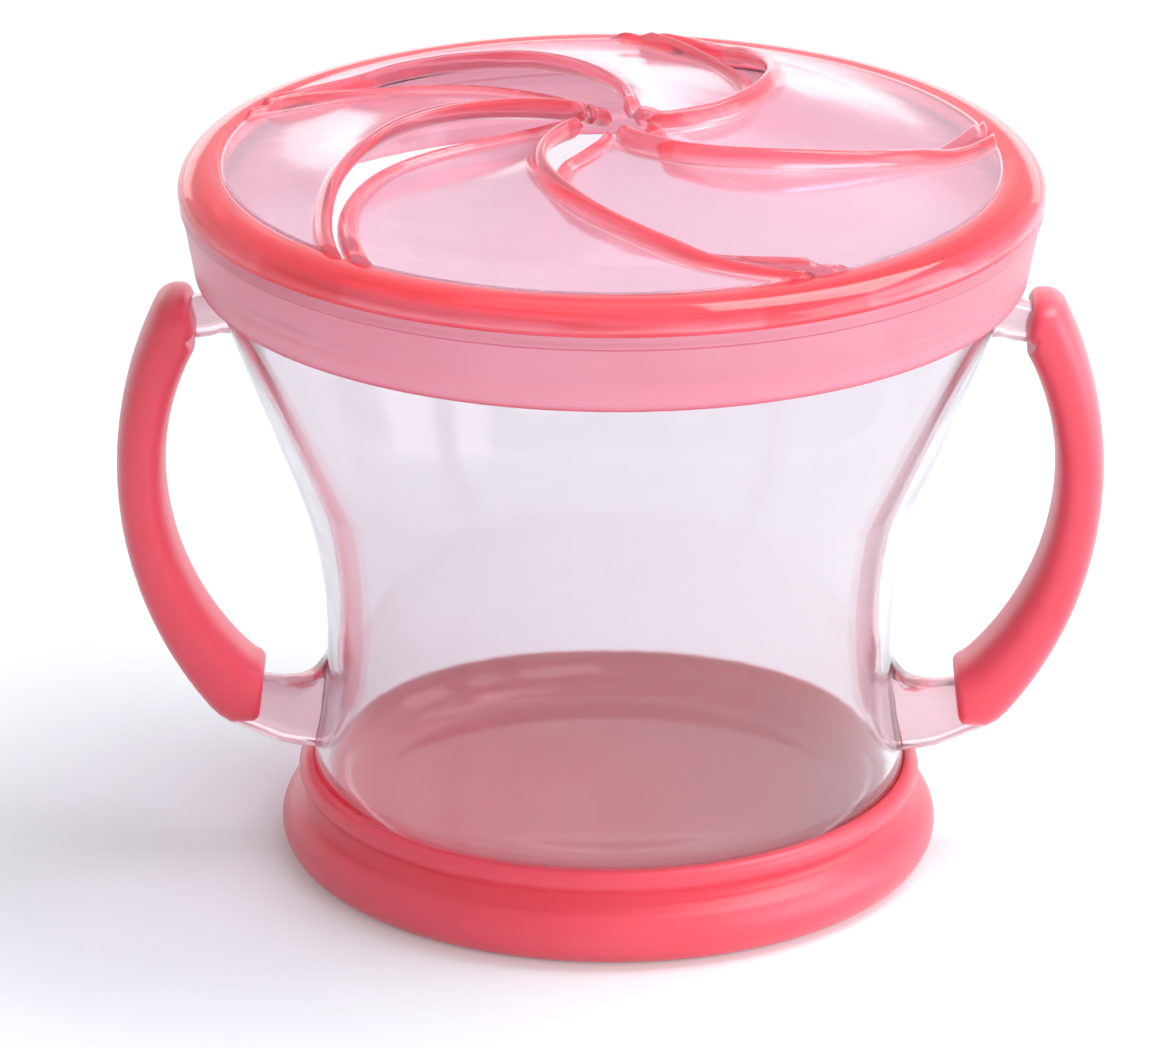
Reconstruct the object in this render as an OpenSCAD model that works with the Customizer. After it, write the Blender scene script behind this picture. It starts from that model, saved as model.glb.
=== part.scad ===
// Snack container for a small child: a waisted clear cup on a soft foot, two soft side grips,
// and a lid, pressed over the rim, whose five spiral flaps bend down to let a hand in and spring back.
// Origin: centre of the foot on the floor. +Z up, +X through the grips, -Y is the front.

/* [Cup] */
// Outer radius of the cup rim
rim_r = 45; // [44:0.5:46]
// Height of the cup rim above the floor
rim_z = 79.6; // [78.6:0.2:81]
// Wall thickness of the cup
wall = 2.1; // [1.8:0.1:2.4]
// Outer radius at the waist
waist_r = 32.1; // [31.5:0.1:32.7]
// Height of the waist
waist_z = 25.5; // [24.5:0.5:26.5]
// Radius of the waist's curve seen from the side
waist_curve = 57; // [54:1:60]
// Height at which the leaning wall reaches the straight rim band
shoulder_z = 69.3; // [68.8:0.1:69.8]
// Outer radius of the cup's bottom corner
corner_r = 7; // [6:0.5:7.5]
// Height of the cup's underside
cup_floor_z = 4; // [3.4:0.2:4.6]

/* [Handles] */
// Radius of the grip's outer curve
grip_out_r = 45.3; // [44.8:0.1:45.8]
// How far a grip reaches out beyond the cup rim
grip_reach = 10.8; // [10.4:0.1:11.2]
// Thickness of a grip at its middle
grip_t = 5.5; // [5.2:0.1:5.8]
// Distance between the centres of the outer and inner curves, which thickens the grip's ends
grip_flare = 8.1; // [7.7:0.1:8.5]
// Height of the grip curves' centres
grip_z = 45.7; // [45.2:0.1:46.2]
// Front to back depth of a grip
grip_depth = 11; // [10:0.5:12]
// Radius of a grip's rounded long edges
grip_edge = 2.6; // [2.2:0.1:3]
// Front to back depth of the flat handle core
core_depth = 4.8; // [4:0.2:5.4]
// Thickness of the core inside the grip
core_t = 2.6; // [2.2:0.1:3]
// Height of a grip's upper end above the curves' centres
grip_up = 21.2; // [20.8:0.1:21.6]
// Distance of a grip's upper end face from the cup rim
grip_off = 2.5; // [2.2:0.1:2.9]
// Gap between the core and the grip
grip_fit = 0.05; // [0.03:0.01:0.1]

/* [Foot] */
// How far the foot stands out from the cup's lower edge
foot_out = 3.65; // [3.2:0.05:4]
// Radius of the foot's rounded side
foot_round = 3.4; // [3:0.1:3.6]
// How far the groove under the lip stands out from the cup's lower edge
groove_out = 0.65; // [0.5:0.05:0.9]
// How far the foot's rolled lip stands out from the cup's lower edge
lip_out = 1.7; // [1.5:0.05:2]
// Thickness radius of the rolled lip
lip_round = 1.35; // [1.2:0.05:1.5]
// Height of the rolled lip's centre
lip_z = 9.6; // [9.3:0.1:9.9]
// Depth of the recess under the foot
recess = 0.8; // [0.4:0.1:1.2]
// Gap between the cup and the foot
foot_fit = 0.05; // [0.03:0.01:0.1]

/* [Lid] */
// Height of the collar's lower edge
collar_z = 69.85; // [69.2:0.05:70.5]
// Gap between the cup rim and the collar wall
collar_gap = 0.5; // [0.4:0.05:0.6]
// Outer radius of the collar's lower edge beyond the cup rim
collar_low = 1.65; // [1.5:0.05:1.9]
// Outer radius of the collar's upper edge beyond the cup rim
collar_high = 3; // [2.7:0.05:3.2]
// Height of the flange band round the collar's top
flange_h = 1.6; // [1.2:0.1:2]
// Gap between the cup rim and the lid over it
seat_gap = 0.1; // [0.05:0.05:0.2]
// Radius of the top ring's rounded edge
ring_round = 2.4; // [2.2:0.1:2.6]
// Height of the top ring above the collar
ring_h = 3.25; // [3:0.05:3.5]

/* [Flaps] */
// Turn of the first slit's rim end round the lid
slit_turn = 14; // [0:1:72]
// Angle that a slit turns through from the lid's centre to the ring
spiral_sweep = 88.6; // [86:0.2:90]
// Width of a slit
slit_gap = 0.8; // [0.8:0.05:0.9]
// Extra width that lets a raised edge pass its neighbour's low edge when it bends down
slit_relief = 0.4; // [0.35:0.05:0.5]
// Radius of the hole left between the flap tips
tip_r = 3.8; // [3.6:0.2:4.4]
// Thickness of a flap
flap_t = 1; // [0.8:0.1:1.2]
// Width of the raised bead along a flap's edges
bead_w = 2; // [1.8:0.1:2]
// Height that the bead stands above the flap
bead_up = 0.7; // [0.5:0.1:0.9]
// Height that the bead hangs below the flap
bead_down = 0.5; // [0.3:0.1:0.6]
// Height of the rib at a flap's outer end
rib_up = 1.1; // [0.8:0.1:1.5]
// Height of a flap's raised edge above the ring, at its highest
crown_h = 6.1; // [5.5:0.1:6.4]
// Gap between a flap and its root
root_gap = 0.3; // [0.25:0.05:0.35]

/* [Hidden] */
FN = 96;
FLAPS = 5;
SECTOR = 360 / FLAPS;

// Cup wall: a bottom corner and a waist that are arcs touching each other, then a straight
// leaning wall that touches the waist's arc and reaches the rim band at the shoulder.
arc_x = waist_r + waist_curve;
rim_in_r = rim_r - wall + 0.1;
corner_z = cup_floor_z + corner_r;
corner_lean = asin((waist_z - corner_z) / (waist_curve + corner_r));
corner_x = arc_x - (waist_curve + corner_r) * cos(corner_lean);
base_r = corner_x + corner_r;
wall_lean = 180 - atan2(shoulder_z - waist_z, rim_r - arc_x)
    - acos(waist_curve / norm([rim_r - arc_x, shoulder_z - waist_z]));
wall_z = waist_z + waist_curve * sin(wall_lean);
function wall_r(z) =
    z < wall_z ? arc_x - sqrt(pow(waist_curve, 2) - pow(z - waist_z, 2))
    : min(rim_r, arc_x - waist_curve * cos(wall_lean) + (z - wall_z) * tan(wall_lean));

// Grip curves and ends, and the core's curves inside them.
grip_out_x = rim_r + grip_reach - grip_out_r;
grip_in_x = grip_out_x + grip_flare;
grip_in_r = grip_out_r - grip_t - grip_flare;
grip_top_z = grip_z + grip_up;
grip_top_x = rim_r + grip_off;
skin = (grip_t - core_t) / 2;
function on_curve(x, r, a) = [x + r * cos(a), grip_z + r * sin(a)];

// Grip sections: a flat crown between two rounded edges.
crown_r = 12;
edge_y = grip_depth / 2 - grip_edge;
edge_a = asin(edge_y / (crown_r - grip_edge));
edge_back = crown_r - (crown_r - grip_edge) * cos(edge_a);
crown_y = crown_r * sin(edge_a);

// Lid heights.
ring_z = rim_z - collar_gap;
ring_top = ring_z + ring_h;
ring_in_r = rim_r - 1.8;
ring_mid_z = ring_top - flap_t / 2;
collar_r = rim_r + collar_gap;

// Flap root: each flap bends along a straight line that starts at its slit's rim end and climbs.
hinge_d = ring_in_r * cos(SECTOR / 2) - 1.35;
spiral_0 = -2;
hinge_low_z = ring_mid_z - flap_t / 2 - 0.4;
hinge_rise = 2.9;
ROWS = 10;
ROOT_ROWS = 3;
INNER = [0.08, 0.24, 0.42, 0.6, 0.76, 0.9];
BEAD = [[0, 0.15], [0.17, 0.75], [0.5, 1], [0.83, 0.75], [1, 0]];
SIDE = len(BEAD);
COLS = 2 * SIDE + len(INNER) - 1;

// Height of the raised edge and of the low edge over the ring, as a share of crown_h, by the
// share of the way from the lid's centre to the ring.
HIGH = [[0, 0.9], [0.14, 0.96], [0.23, 1], [0.37, 1], [0.51, 0.955], [0.65, 0.78], [0.79, 0.5],
        [0.83, 0.38], [0.9, 0.16], [1, 0]];
LOW = [[0, 0.68], [0.09, 0.62], [0.23, 0.3], [0.37, 0.15], [0.46, 0.12], [0.65, 0.1], [0.79, 0.05], [0.9, 0], [1, 0]];

function slit(r) = spiral_0 - spiral_sweep * (1 - r / ring_in_r);
function mix(a, b, t) = a + (b - a) * t;
function ease(t) = t <= 0 ? 0 : t >= 1 ? 1 : t * t * (3 - 2 * t);

// Width of a flap across the spiral at one radius.
function span(r) = r * SECTOR * PI / 180 / sqrt(1 + pow(r / ring_in_r * spiral_sweep * PI / 180, 2));

function low_z(r) = lookup(r / ring_in_r, LOW) * crown_h;
function high_z(r) = lookup(r / ring_in_r, HIGH) * crown_h;

// Radius at which the straight line at distance d crosses the spiral a share u of the way across,
// found by halving the stretch between lo and hi.
function cross_r(u, d, lo = 0.6 * ring_in_r, hi = 1.04 * ring_in_r, n = 20) =
    let (mid = (lo + hi) / 2)
    n == 0 ? mid
    : mid * cos(slit(mid) + SECTOR * (u - 0.5)) < d ? cross_r(u, d, mid, hi, n - 1) : cross_r(u, d, lo, mid, n - 1);

// Place along that line.
function along(u, r) = r * sin(slit(r) + SECTOR * (u - 0.5));
line_0 = along(0, cross_r(0, hinge_d));
line_1 = along(1, cross_r(1, hinge_d));
function line_z(t) = hinge_low_z + flap_t / 2 + hinge_rise * (t - line_0) / (line_1 - line_0);

// Share of the way across the flap for column c at radius r: a bead, the membrane, a bead.
function bead_at(r) = min(bead_w, (span(r) - slit_gap) * 0.48);
function edge_u(k, r, more = 0) = (slit_gap / 2 + more + bead_at(r) * BEAD[k][0]) / span(r);
function relief(r) = slit_relief * ease((r / ring_in_r - 0.25) / 0.19) * ease((0.83 - r / ring_in_r) / 0.12);
function col_u(c, r) =
    c < SIDE ? edge_u(c, r)
    : c > COLS - SIDE ? 1 - edge_u(COLS - c, r, relief(r))
    : mix(edge_u(SIDE - 1, r), 1 - edge_u(SIDE - 1, r, relief(r)), INNER[c - SIDE]);
function bead_share(c) = c < SIDE ? BEAD[c][1] : c > COLS - SIDE ? BEAD[COLS - c][1] : 0;

// Middle height of the flap. The membrane lies low over most of its width and then curves up.
function lift(u) = 0.45 * u + 0.55 * pow(u, 4);
function surf_z(u, r) = ring_mid_z + mix(low_z(r), high_z(r), lift(u));

// One point of a flap: column c, row j, side 1 for the top and -1 for the underside.
function flap_point(c, j, side) =
    let (v = j / ROWS,
         r0 = cross_r(col_u(c, hinge_d), hinge_d - root_gap / 2),
         r = mix(r0, tip_r, v),
         u = col_u(c, r),
         a = slit_turn + slit(r) + SECTOR * u,
         root = line_z(along(u, r0)) - surf_z(u, r0),
         mid = surf_z(u, r) + root * pow(1 - v, 2),
         rib = c < SIDE ? rib_up * ease((r / ring_in_r - 0.76) / 0.19) : 0,
         up = flap_t / 2 + bead_share(c) * (bead_up + rib),
         down = flap_t / 2 + bead_share(c) * bead_down * min(1, j / 2))
    [r * cos(a), r * sin(a), mid + (side > 0 ? up : -down)];

// One point of the flat root between the ring and the flap, rows from the ring inwards.
function root_point(c, j, side) =
    let (v = j / ROOT_ROWS,
         r0 = cross_r(col_u(c, hinge_d), hinge_d + root_gap / 2),
         r = mix(ring_in_r + 0.4, r0, v),
         u = col_u(c, r),
         a = slit_turn + slit(r) + SECTOR * u,
         mid = mix(ring_mid_z, line_z(along(u, r0)), v),
         up = flap_t / 2 + (c > COLS - SIDE ? bead_share(c) * bead_up * v : 0))
    [r * cos(a), r * sin(a), mid + (side > 0 ? up : -flap_t / 2)];

// Faces of a closed sheet of nc by nr cells: its top grid of points, then its bottom grid.
function quad(a, b, c, d) = [[a, b, c], [a, c, d]];
function sheet_faces(nc, nr) =
    let (w = nc + 1, n = w * (nr + 1))
    concat(
        [for (j = [0:nr - 1], i = [0:nc - 1], f = quad(j * w + i, j * w + i + w, j * w + i + w + 1, j * w + i + 1)) f],
        [for (j = [0:nr - 1], i = [0:nc - 1], f = quad(n + j * w + i, n + j * w + i + 1, n + j * w + i + w + 1,
            n + j * w + i + w)) f],
        [for (i = [0:nc - 1], f = quad(i, i + 1, n + i + 1, n + i)) f],
        [for (i = [nr * w:nr * w + nc - 1], f = quad(i + 1, i, n + i, n + i + 1)) f],
        [for (j = [0:nr - 1], f = quad(j * w + w, j * w, n + j * w, n + j * w + w)) f],
        [for (j = [0:nr - 1], f = quad(j * w + nc, j * w + w + nc, n + j * w + w + nc, n + j * w + nc)) f]);

// Outline of the cup from the axis to its wall, grown outwards by g.
module cup_shape(g, top) {
    wave_r = waist_curve - g;
    turn_r = corner_r + g;
    wall_x = arc_x - wave_r * cos(wall_lean);
    low_z = waist_z + wave_r * sin(wall_lean);
    side_r = g < 0 ? rim_in_r : rim_r + g;
    side_z = low_z + (side_r - wall_x) / tan(wall_lean);
    difference() {
        polygon([[0, corner_z], [corner_x, corner_z],
                 [corner_x + turn_r * cos(corner_lean), corner_z + turn_r * sin(corner_lean)],
                 [wall_x, low_z], [side_r, side_z], [side_r, top], [0, top]]);
        translate([arc_x, waist_z]) circle(r = wave_r, $fn = FN);
    }
    translate([corner_x, corner_z]) circle(r = turn_r, $fn = FN);
    translate([0, corner_z - turn_r]) square([corner_x, turn_r + 1]);
}

// Handle core seen from the front, grown by g: a crescent inside the grip.
module core_shape(g) {
    reach = 2 * grip_out_r;
    intersection() {
        difference() {
            translate([grip_out_x, grip_z]) circle(r = grip_out_r - skin + g, $fn = FN);
            translate([grip_in_x, grip_z]) circle(r = grip_in_r + skin - g, $fn = FN);
        }
        polygon([on_curve(grip_in_x, grip_in_r / 2, -48), on_curve(grip_out_x, reach, -48), [reach, grip_z],
                 [reach, grip_top_z - skin + g], [grip_top_x, grip_top_z - skin + g], [grip_in_x, grip_z]]);
    }
}

// Struts from the crescent's ends to the cup wall, grown by g where they enter the grip. The lower
// one ends in a fillet up the wall; the upper one is arched underneath.
module strut_shape(g) {
    a = on_curve(grip_out_x, grip_out_r - skin, -47.4);
    b = on_curve(grip_in_x, grip_in_r + skin, -50.6);
    low = a[1] - 1.6;
    high = b[1] - 0.4;
    polygon([[wall_r(low) - wall / 2, low - 0.2], [mix(wall_r(low), a[0], 0.25), low],
             [mix(wall_r(low), a[0], 0.6), low + 0.5], a - [0, g], a + [1, 0.8 - g], b + [1, -0.8 + g], b + [0, g],
             [mix(wall_r(high), b[0], 0.6), high], [wall_r(high) + 2.8, high + 0.1],
             [wall_r(high) + 1.5, high + 0.8], [wall_r(high) + 0.4, high + 2.2],
             [wall_r(high + 3.9) - 0.2, high + 3.9], [wall_r(high + 4.7) - wall / 2, high + 4.7]]);
    c = [grip_top_x, grip_top_z - 5];
    d = [grip_top_x, grip_top_z - skin];
    polygon([c + [0.5, -g], c + [-1.1, -0.4 - g], c + [-2.5, -0.2], c + [-3.8, 0.2], c + [-4.9, 0.1],
             [wall_r(c[1] - 0.7) - wall / 2, c[1] - 0.7], [wall_r(d[1] + 1.8) - wall / 2, d[1] + 1.8],
             [wall_r(d[1] + 1.5), d[1] + 1.5], d + [-1.9, 0.7], d + [0.5, g]]);
}

// A flat shape drawn in x and z, given its front to back depth.
module flat_band(depth) {
    rotate([90, 0, 0]) translate([0, 0, -depth / 2]) linear_extrude(height = depth) children();
}

module cup() color([0.93, 0.92, 0.94, 0.35]) {
    lip = (rim_r - rim_in_r) / 2;
    difference() {
        union() {
            rotate_extrude($fn = FN) cup_shape(0, rim_z - lip);
            rotate_extrude($fn = FN) {
                translate([rim_r - lip, rim_z - lip]) circle(r = lip, $fn = 48);
                translate([rim_r - 0.35, rim_z - 3.1]) circle(r = 0.5, $fn = 24);
            }
            for (s = [0, 180]) rotate([0, 0, s]) flat_band(core_depth) {
                core_shape(0);
                strut_shape(0);
            }
        }
        rotate_extrude($fn = FN) cup_shape(-wall, rim_z + 1);
    }
}

// Half sections of a grip's outer barrel and inner waist: flat crowns between rounded edges.
module barrel_shape(r) {
    intersection() {
        translate([r - crown_r, 0]) circle(r = crown_r, $fn = FN);
        translate([r - crown_r, -crown_y]) square([crown_r, 2 * crown_y]);
    }
    for (y = [-edge_y, edge_y]) translate([r - edge_back, y]) circle(r = grip_edge, $fn = 48);
    translate([0, -grip_depth / 2]) square([r - edge_back, grip_depth]);
}
module hollow_shape(r) {
    difference() {
        translate([0, -grip_depth]) square([r + edge_back, 2 * grip_depth]);
        intersection() {
            translate([r + crown_r, 0]) circle(r = crown_r, $fn = FN);
            translate([r, -crown_y]) square([crown_r, 2 * crown_y]);
        }
        for (y = [-edge_y, edge_y]) translate([r + edge_back, y]) circle(r = grip_edge, $fn = 48);
    }
}

// The stretch of the crescent that a grip keeps, with its two end faces, seen from the front.
module grip_ends() {
    a = on_curve(grip_out_x, grip_out_r, -46);
    b = on_curve(grip_in_x, grip_in_r, -49.2);
    c = [grip_top_x, grip_top_z];
    polygon([b + [-0.4, 1.6], b + [-0.5, -0.4], b + [-0.7, -2.8], b + [0, -5.2], mix(b, a, 0.82) + [-0.8, 0],
             a + [-0.8, 0.5], a, a + [1.4, -0.7], a + [1.4, -5], [2 * grip_out_r, a[1] - 5], [2 * grip_out_r, c[1]],
             c + [1.8, 0], c + [0.9, -0.25], c + [0.3, -0.8], c + [0, -1.7], c + [0, -4.9], c + [-0.4, -5.7],
             c + [-1.1, -6.1], c + [-3.5, -9]]);
}
module grip() {
    difference() {
        intersection() {
            translate([grip_out_x, 0, grip_z]) rotate([90, 0, 0])
                rotate_extrude($fn = FN) barrel_shape(grip_out_r);
            flat_band(2 * grip_depth) grip_ends();
        }
        translate([grip_in_x, 0, grip_z]) rotate([90, 0, 0])
            rotate_extrude($fn = FN) hollow_shape(grip_in_r);
        flat_band(core_depth + 2 * grip_fit) {
            core_shape(grip_fit);
            strut_shape(grip_fit);
        }
    }
}
module left_grip() color([0.97, 0.45, 0.50]) rotate([0, 0, 180]) grip();
module right_grip() color([0.97, 0.45, 0.50]) grip();

module foot() color([0.97, 0.45, 0.50]) {
    side_x = base_r + foot_out - foot_round;
    rotate_extrude($fn = FN) difference() {
        union() {
            translate([side_x, foot_round]) circle(r = foot_round, $fn = FN);
            square([side_x, foot_round]);
            square([base_r + groove_out, lip_z]);
            translate([base_r + lip_out - lip_round, lip_z]) circle(r = lip_round, $fn = 48);
        }
        cup_shape(foot_fit, 20);
        polygon([[0, -1], [side_x - 3, -1], [side_x - 3, 0], [side_x - 3 - 2 * recess, recess], [0, recess]]);
    }
}

module lid_collar() color([0.96, 0.62, 0.70, 0.6]) rotate_extrude($fn = FN)
    polygon([[rim_r + 0.7, collar_z], [rim_r + collar_low, collar_z],
             [rim_r + collar_high, ring_z - flange_h], [rim_r + collar_high + 0.25, ring_z - flange_h + 0.05],
             [rim_r + collar_high + 0.25, ring_z], [collar_r, ring_z], [collar_r, collar_z + 4.2],
             [rim_r + 0.25, collar_z + 3.4], [rim_r + 0.25, collar_z + 2.8], [collar_r, collar_z + 2]]);

module top_ring() color([0.95, 0.35, 0.40, 0.7]) {
    out_x = rim_r + 3.5 - ring_round;
    rotate_extrude($fn = FN) {
        intersection() {
            translate([out_x, ring_top - ring_round]) circle(r = ring_round, $fn = FN);
            translate([collar_r, ring_z]) square([2 * ring_round, ring_h]);
        }
        polygon([[ring_in_r, rim_z + seat_gap], [collar_r, rim_z + seat_gap], [collar_r, ring_z],
                 [out_x, ring_z], [out_x, ring_top], [ring_in_r + 0.6, ring_top],
                 [ring_in_r, ring_top - 0.6]]);
    }
    for (k = [0:FLAPS - 1]) rotate([0, 0, SECTOR * k])
        polyhedron(points = [for (side = [1, -1], j = [0:ROOT_ROWS], c = [0:COLS]) root_point(c, j, side)],
                   faces = sheet_faces(COLS, ROOT_ROWS));
}

module flap(k) color([0.97, 0.50, 0.58, 0.6]) rotate([0, 0, SECTOR * k])
    polyhedron(points = [for (side = [1, -1], j = [0:ROWS], c = [0:COLS]) flap_point(c, j, side)],
               faces = sheet_faces(COLS, ROWS));
module flap_1() flap(0);
module flap_2() flap(1);
module flap_3() flap(2);
module flap_4() flap(3);
module flap_5() flap(4);

cup();
left_grip();
right_grip();
foot();
lid_collar();
top_ring();
flap_1();
flap_2();
flap_3();
flap_4();
flap_5();
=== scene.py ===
"""Looks of a snack container for a small child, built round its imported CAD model.

A waisted clear cup stands on a soft coral foot, with a soft coral grip on each side. Its lid is a
rigid pink collar with a soft clear-red ring and five soft spiral flaps that bend down one by one.
Sizes are in millimetres, as in the CAD source, and become metres where a mesh is made.
"""

import math

import bmesh
import bpy
from mathutils import Matrix, Vector


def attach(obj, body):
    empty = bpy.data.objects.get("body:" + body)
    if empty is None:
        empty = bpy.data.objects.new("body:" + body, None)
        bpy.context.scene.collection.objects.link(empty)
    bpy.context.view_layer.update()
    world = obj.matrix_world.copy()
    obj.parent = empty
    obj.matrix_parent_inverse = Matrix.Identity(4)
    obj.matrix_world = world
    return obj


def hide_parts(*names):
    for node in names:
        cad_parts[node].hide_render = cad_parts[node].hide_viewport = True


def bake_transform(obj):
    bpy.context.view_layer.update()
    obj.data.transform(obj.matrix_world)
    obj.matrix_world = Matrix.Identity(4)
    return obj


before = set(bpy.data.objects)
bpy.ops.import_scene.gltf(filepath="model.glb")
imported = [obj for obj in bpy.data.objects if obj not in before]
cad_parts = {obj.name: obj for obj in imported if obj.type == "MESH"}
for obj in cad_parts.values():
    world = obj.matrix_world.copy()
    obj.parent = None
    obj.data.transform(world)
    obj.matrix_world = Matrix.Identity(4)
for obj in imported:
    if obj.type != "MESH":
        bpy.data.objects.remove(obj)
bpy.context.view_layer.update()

MM = 0.001

# Cup: a bottom corner and a waist that are arcs touching each other, then a straight leaning wall
RIM_R, RIM_Z, WALL = 45.0, 79.6, 2.1
RIM_IN_R = RIM_R - WALL + 0.1
WAIST_R, WAIST_Z, WAIST_CURVE = 32.1, 25.5, 57.0
WALL_LEAN = math.radians(21.3047)
CORNER_R, CUP_FLOOR_Z = 7.0, 4.0
STRUT_DEPTH, STRUT_ROUND = 4.8, 1.4

# Grips: crescents between an outer and an inner arc
GRIP_OUT = (10.5, 45.7, 45.28)
GRIP_IN = (18.6, 45.7, 31.7)
GRIP_DEPTH = 11.0
GRIP_END_ROUND, GRIP_CORNER = 1.1, 2.2
# The oval's exponent, where 2 is an ellipse and more is squarer
GRIP_OVAL = 2.7

# Foot
FOOT_R, FOOT_ROUND = 37.4, 3.4
LIP_R, LIP_ROUND, LIP_Z = 35.45, 1.35, 9.6
GROOVE_R, FOOT_RECESS, FOOT_SINK = 34.4, 0.8, 0.03
# The foot is moulded against the cup inside the first radius, and clear of it outside the second; the coral
# is painted deeper and darker inside, as shade under the cup
AGAINST_CUP_R, CLEAR_OF_CUP_R = 33.9, 35.0

# Lid collar and top ring
COLLAR_Z, COLLAR_IN_R, INNER_BEAD_R = 69.85, 45.5, 45.25
COLLAR_LOW_R, COLLAR_HIGH_R, FLANGE_R, FLANGE_H = 46.65, 48.0, 48.25, 1.6
RING_Z, RING_H, RING_R, RING_IN_R = 79.1, 3.25, 48.49, 43.2
SHOULDER_R, SHOULDER_H = 3.8, 2.95

# Flaps: how many there are, the turn of the first, and the share of the circle each takes, in degrees
FLAPS, SLIT_TURN, SECTOR = 5, 14.0, 72.0
# Deeper blocks in the ring at the slits' ends: where the first lies, and half their width, in degrees
BLOCK_TURN, BLOCK_HALF = 9.3, 6.9


def linear(code):
    """Linear colour from an sRGB hex value."""
    parts = [int(code[i:i + 2], 16) / 255 for i in (0, 2, 4)]
    return tuple(c / 12.92 if c <= 0.04045 else ((c + 0.055) / 1.055) ** 2.4 for c in parts) + (1,)


def add(tree, kind, settings=None, inputs=None):
    """Adds a node, sets its properties, and gives its inputs values or links."""
    node = tree.nodes.new(kind)
    for name, value in (settings or {}).items():
        setattr(node, name, value)
    for name, value in (inputs or {}).items():
        if isinstance(value, bpy.types.NodeSocket):
            tree.links.new(value, node.inputs[name])
        else:
            node.inputs[name].default_value = value
    return node


# Materials


def new_material(name):
    """A node material with nothing in it yet, and its tree."""
    material = bpy.data.materials.new(name)
    material.use_nodes = True
    material.node_tree.nodes.clear()
    return material, material.node_tree


def moulded_bump(tree, fine_mm, fine_depth_mm, wave_mm, wave_depth_mm):
    """A moulded surface's normal, a fine skin over slow flow waves, and both patterns by themselves."""
    place = add(tree, "ShaderNodeTexCoord").outputs["Object"]
    wave = add(tree, "ShaderNodeTexNoise", None,
               {"Vector": place, "Scale": 1 / (wave_mm * MM), "Detail": 2.0})
    fine = add(tree, "ShaderNodeTexNoise", None,
               {"Vector": place, "Scale": 1 / (fine_mm * MM), "Detail": 3.0})
    slow = add(tree, "ShaderNodeBump", None,
               {"Height": wave.outputs["Fac"], "Distance": wave_depth_mm * MM, "Strength": 1.0})
    skin = add(tree, "ShaderNodeBump", None,
               {"Height": fine.outputs["Fac"], "Distance": fine_depth_mm * MM, "Strength": 1.0,
                "Normal": slow.outputs["Normal"]})
    return skin.outputs["Normal"], wave.outputs["Fac"], fine.outputs["Fac"]


def let_lamps_through(tree, shader, tint):
    """Lets lamp light pass straight through a clear part with a tint, so that what it encloses is lit."""
    rays = add(tree, "ShaderNodeLightPath")
    film = add(tree, "ShaderNodeBsdfTransparent", None, {"Color": linear(tint)})
    mixed = add(tree, "ShaderNodeMixShader", None,
                {0: rays.outputs["Is Shadow Ray"], 1: shader.outputs["BSDF"], 2: film.outputs["BSDF"]})
    return mixed.outputs["Shader"]


def clear_plastic():
    """Injection-moulded clear polypropylene: glassy, a little cloudy and pink, slow waves in the wall."""
    material, tree = new_material("clear_polypropylene")
    normal, wave, _ = moulded_bump(tree, 1.2, 0.002, 14, 0.05)
    rough = add(tree, "ShaderNodeMapRange", None, {"Value": wave, "To Min": 0.03, "To Max": 0.07})
    shader = add(tree, "ShaderNodeBsdfPrincipled", None, {
        "Base Color": linear("F1EDF0"), "Roughness": rough.outputs["Result"], "IOR": 1.49,
        "Transmission Weight": 0.96, "Normal": normal})
    haze = add(tree, "ShaderNodeVolumeAbsorption", None, {"Color": linear("E8C2D4"), "Density": 28.0})
    add(tree, "ShaderNodeOutputMaterial", None,
        {"Surface": let_lamps_through(tree, shader, "B8BCC6"), "Volume": haze.outputs["Volume"]})
    return material


def frosted_plastic():
    """The struts' matt, thicker polypropylene: cloudy, and painted pink for the coral that shows through them
    where it is moulded over their cores.
    """
    material, tree = new_material("frosted_polypropylene")
    normal, wave, fine = moulded_bump(tree, 0.9, 0.006, 8, 0.06)
    # painted light: a pink tone for the coral seen through the clear struts
    tone = add(tree, "ShaderNodeMix", {"data_type": "RGBA"},
               {"Factor": wave, "A": linear("EBC2CA"), "B": linear("F4DCE2")})
    rough = add(tree, "ShaderNodeMapRange", None, {"Value": fine, "To Min": 0.08, "To Max": 0.14})
    shader = add(tree, "ShaderNodeBsdfPrincipled", None, {
        "Base Color": tone.outputs["Result"], "Roughness": rough.outputs["Result"], "IOR": 1.49,
        "Transmission Weight": 0.75, "Normal": normal})
    add(tree, "ShaderNodeOutputMaterial", None, {"Surface": shader.outputs["BSDF"]})
    return material


def polar(tree):
    """Turn round the object's axis, distance from it and height, from object coordinates."""
    place = add(tree, "ShaderNodeTexCoord").outputs["Object"]
    parts = add(tree, "ShaderNodeSeparateXYZ", None, {"Vector": place}).outputs
    turn = add(tree, "ShaderNodeMath", {"operation": "ARCTAN2"}, {0: parts["Y"], 1: parts["X"]}).outputs[0]
    flat = add(tree, "ShaderNodeCombineXYZ", None, {"X": parts["X"], "Y": parts["Y"]}).outputs["Vector"]
    radius = add(tree, "ShaderNodeVectorMath", {"operation": "LENGTH"}, {0: flat}).outputs["Value"]
    return turn, radius, parts["Z"]


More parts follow.
